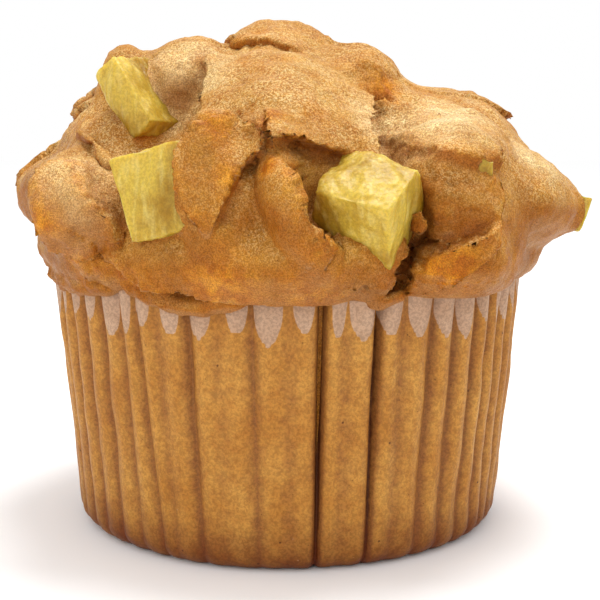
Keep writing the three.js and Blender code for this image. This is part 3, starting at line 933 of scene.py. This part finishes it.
def apple_colour(s):
    """Golden where it is sunk in the crumb, paler where bare, palest along its edges, partly as frayed
    fibre and partly as a painted highlight.
    """
    cloud = s.ramp(s.noise(3.5, detail=4), 0.3, 0.7, -2.2, 2.2)
    bared = s.math("ADD", s.attribute("bared"), cloud)
    colour = s.mix(s.ramp(bared, -1.5, 3.5), srgb(146, 104, 8), srgb(194, 164, 62))
    fibre = s.ramp(s.noise(0.8, detail=3, stretch=(1.0, 1.0, 0.25)), 0.5, 0.72)
    colour = s.mix(s.math("MULTIPLY", fibre, 0.5), colour, srgb(214, 194, 112))
    # Pale edges: partly frayed fibre, partly a painted highlight.
    broken = s.ramp(s.noise(1.2, detail=3), 0.35, 0.6)
    pale = s.math("MULTIPLY", s.ramp(s.attribute("rim"), 0.25, 0.9), broken)
    colour = s.mix(s.math("MULTIPLY", pale, 0.7), colour, srgb(222, 202, 150))
    return s.grainy(colour, 0.3, 0.88, 1.1)


def apple_material():
    s = Shader("apple")
    s.set(Base_Color=apple_colour(s), Roughness=0.4, Specular_IOR_Level=0.25)
    s.set(Subsurface_Weight=0.35, Subsurface_Radius=(1.0, 0.75, 0.15), Subsurface_Scale=3 * MM)
    fibre = s.noise(0.7, detail=3, stretch=(1.0, 1.0, 0.3))
    s.set(Normal=s.bump(fibre, 0.2, strength=0.7))
    return s.material


# ---- Assembly ----

def dress(piece, material, slot, *nodes):
    """Gives a piece its material and puts it in place of its CAD nodes."""
    piece.data.materials.clear()
    piece.data.materials.append(material)
    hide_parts(*nodes)
    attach(piece, BODY)


# ---- Studio ----

CAMERA_DISTANCE = 162.2
CAMERA_HEIGHT = 50.6
CAMERA_ASIDE = 1.46
CAMERA_PITCH = 8.69  # degrees down
FIELD_OF_VIEW = 25.3  # degrees
FLOOR_HALF = 900


def make_camera():
    """The camera in front of the muffin, looking a little down."""
    data = bpy.data.cameras.new("camera")
    data.sensor_width = 36
    data.angle = math.radians(FIELD_OF_VIEW)
    camera = bpy.data.objects.new("camera", data)
    camera.location = Vector((CAMERA_ASIDE, -CAMERA_DISTANCE, CAMERA_HEIGHT)) * MM
    camera.rotation_euler = (math.radians(90 - CAMERA_PITCH), 0, 0)
    bpy.context.scene.collection.objects.link(camera)
    bpy.context.scene.camera = camera


def make_softbox(name, at, watts, size):
    """A round soft light that faces the muffin."""
    data = bpy.data.lights.new(name, "AREA")
    data.shape = "DISK"
    data.size = size * MM
    data.energy = watts
    light = bpy.data.objects.new(name, data)
    light.location = Vector(at) * MM
    aim = Vector((0, 0, 35)) * MM - light.location
    light.rotation_euler = aim.to_track_quat("-Z", "Y").to_euler()
    bpy.context.scene.collection.objects.link(light)


def make_studio():
    """A pale floor, a white surround and two soft lights."""
    s = Shader("floor_paper")
    s.set(Base_Color=(0.98, 0.98, 0.98, 1), Roughness=1.0, Specular_IOR_Level=0.0)
    corners = [(x * FLOOR_HALF, y * FLOOR_HALF, 0) for x, y in ((-1, -1), (1, -1), (1, 1), (-1, 1))]
    floor = make_object("floor", corners, [(0, 1, 2, 3)])
    floor.data.materials.append(s.material)

    world = bpy.data.worlds.new("studio")
    world.use_nodes = True
    background = world.node_tree.nodes["Background"]
    background.inputs["Color"].default_value = (1, 1, 1, 1)
    background.inputs["Strength"].default_value = 1.0
    bpy.context.scene.world = world

    make_softbox("top_softbox", (40, 20, 340), watts=0.9, size=160)
    make_softbox("front_fill", (-180, -330, 190), watts=0.25, size=260)


bpy.context.scene.view_settings.view_transform = "Standard"
dress(make_crumb(), crust_material(), "crust", "crumb")
dress(make_case(), paper_material(), "case_paper", "paper_case")
apple = apple_material()
for node in DICE:
    dress(make_dice(node), apple, "apple", node)
make_camera()
make_studio()
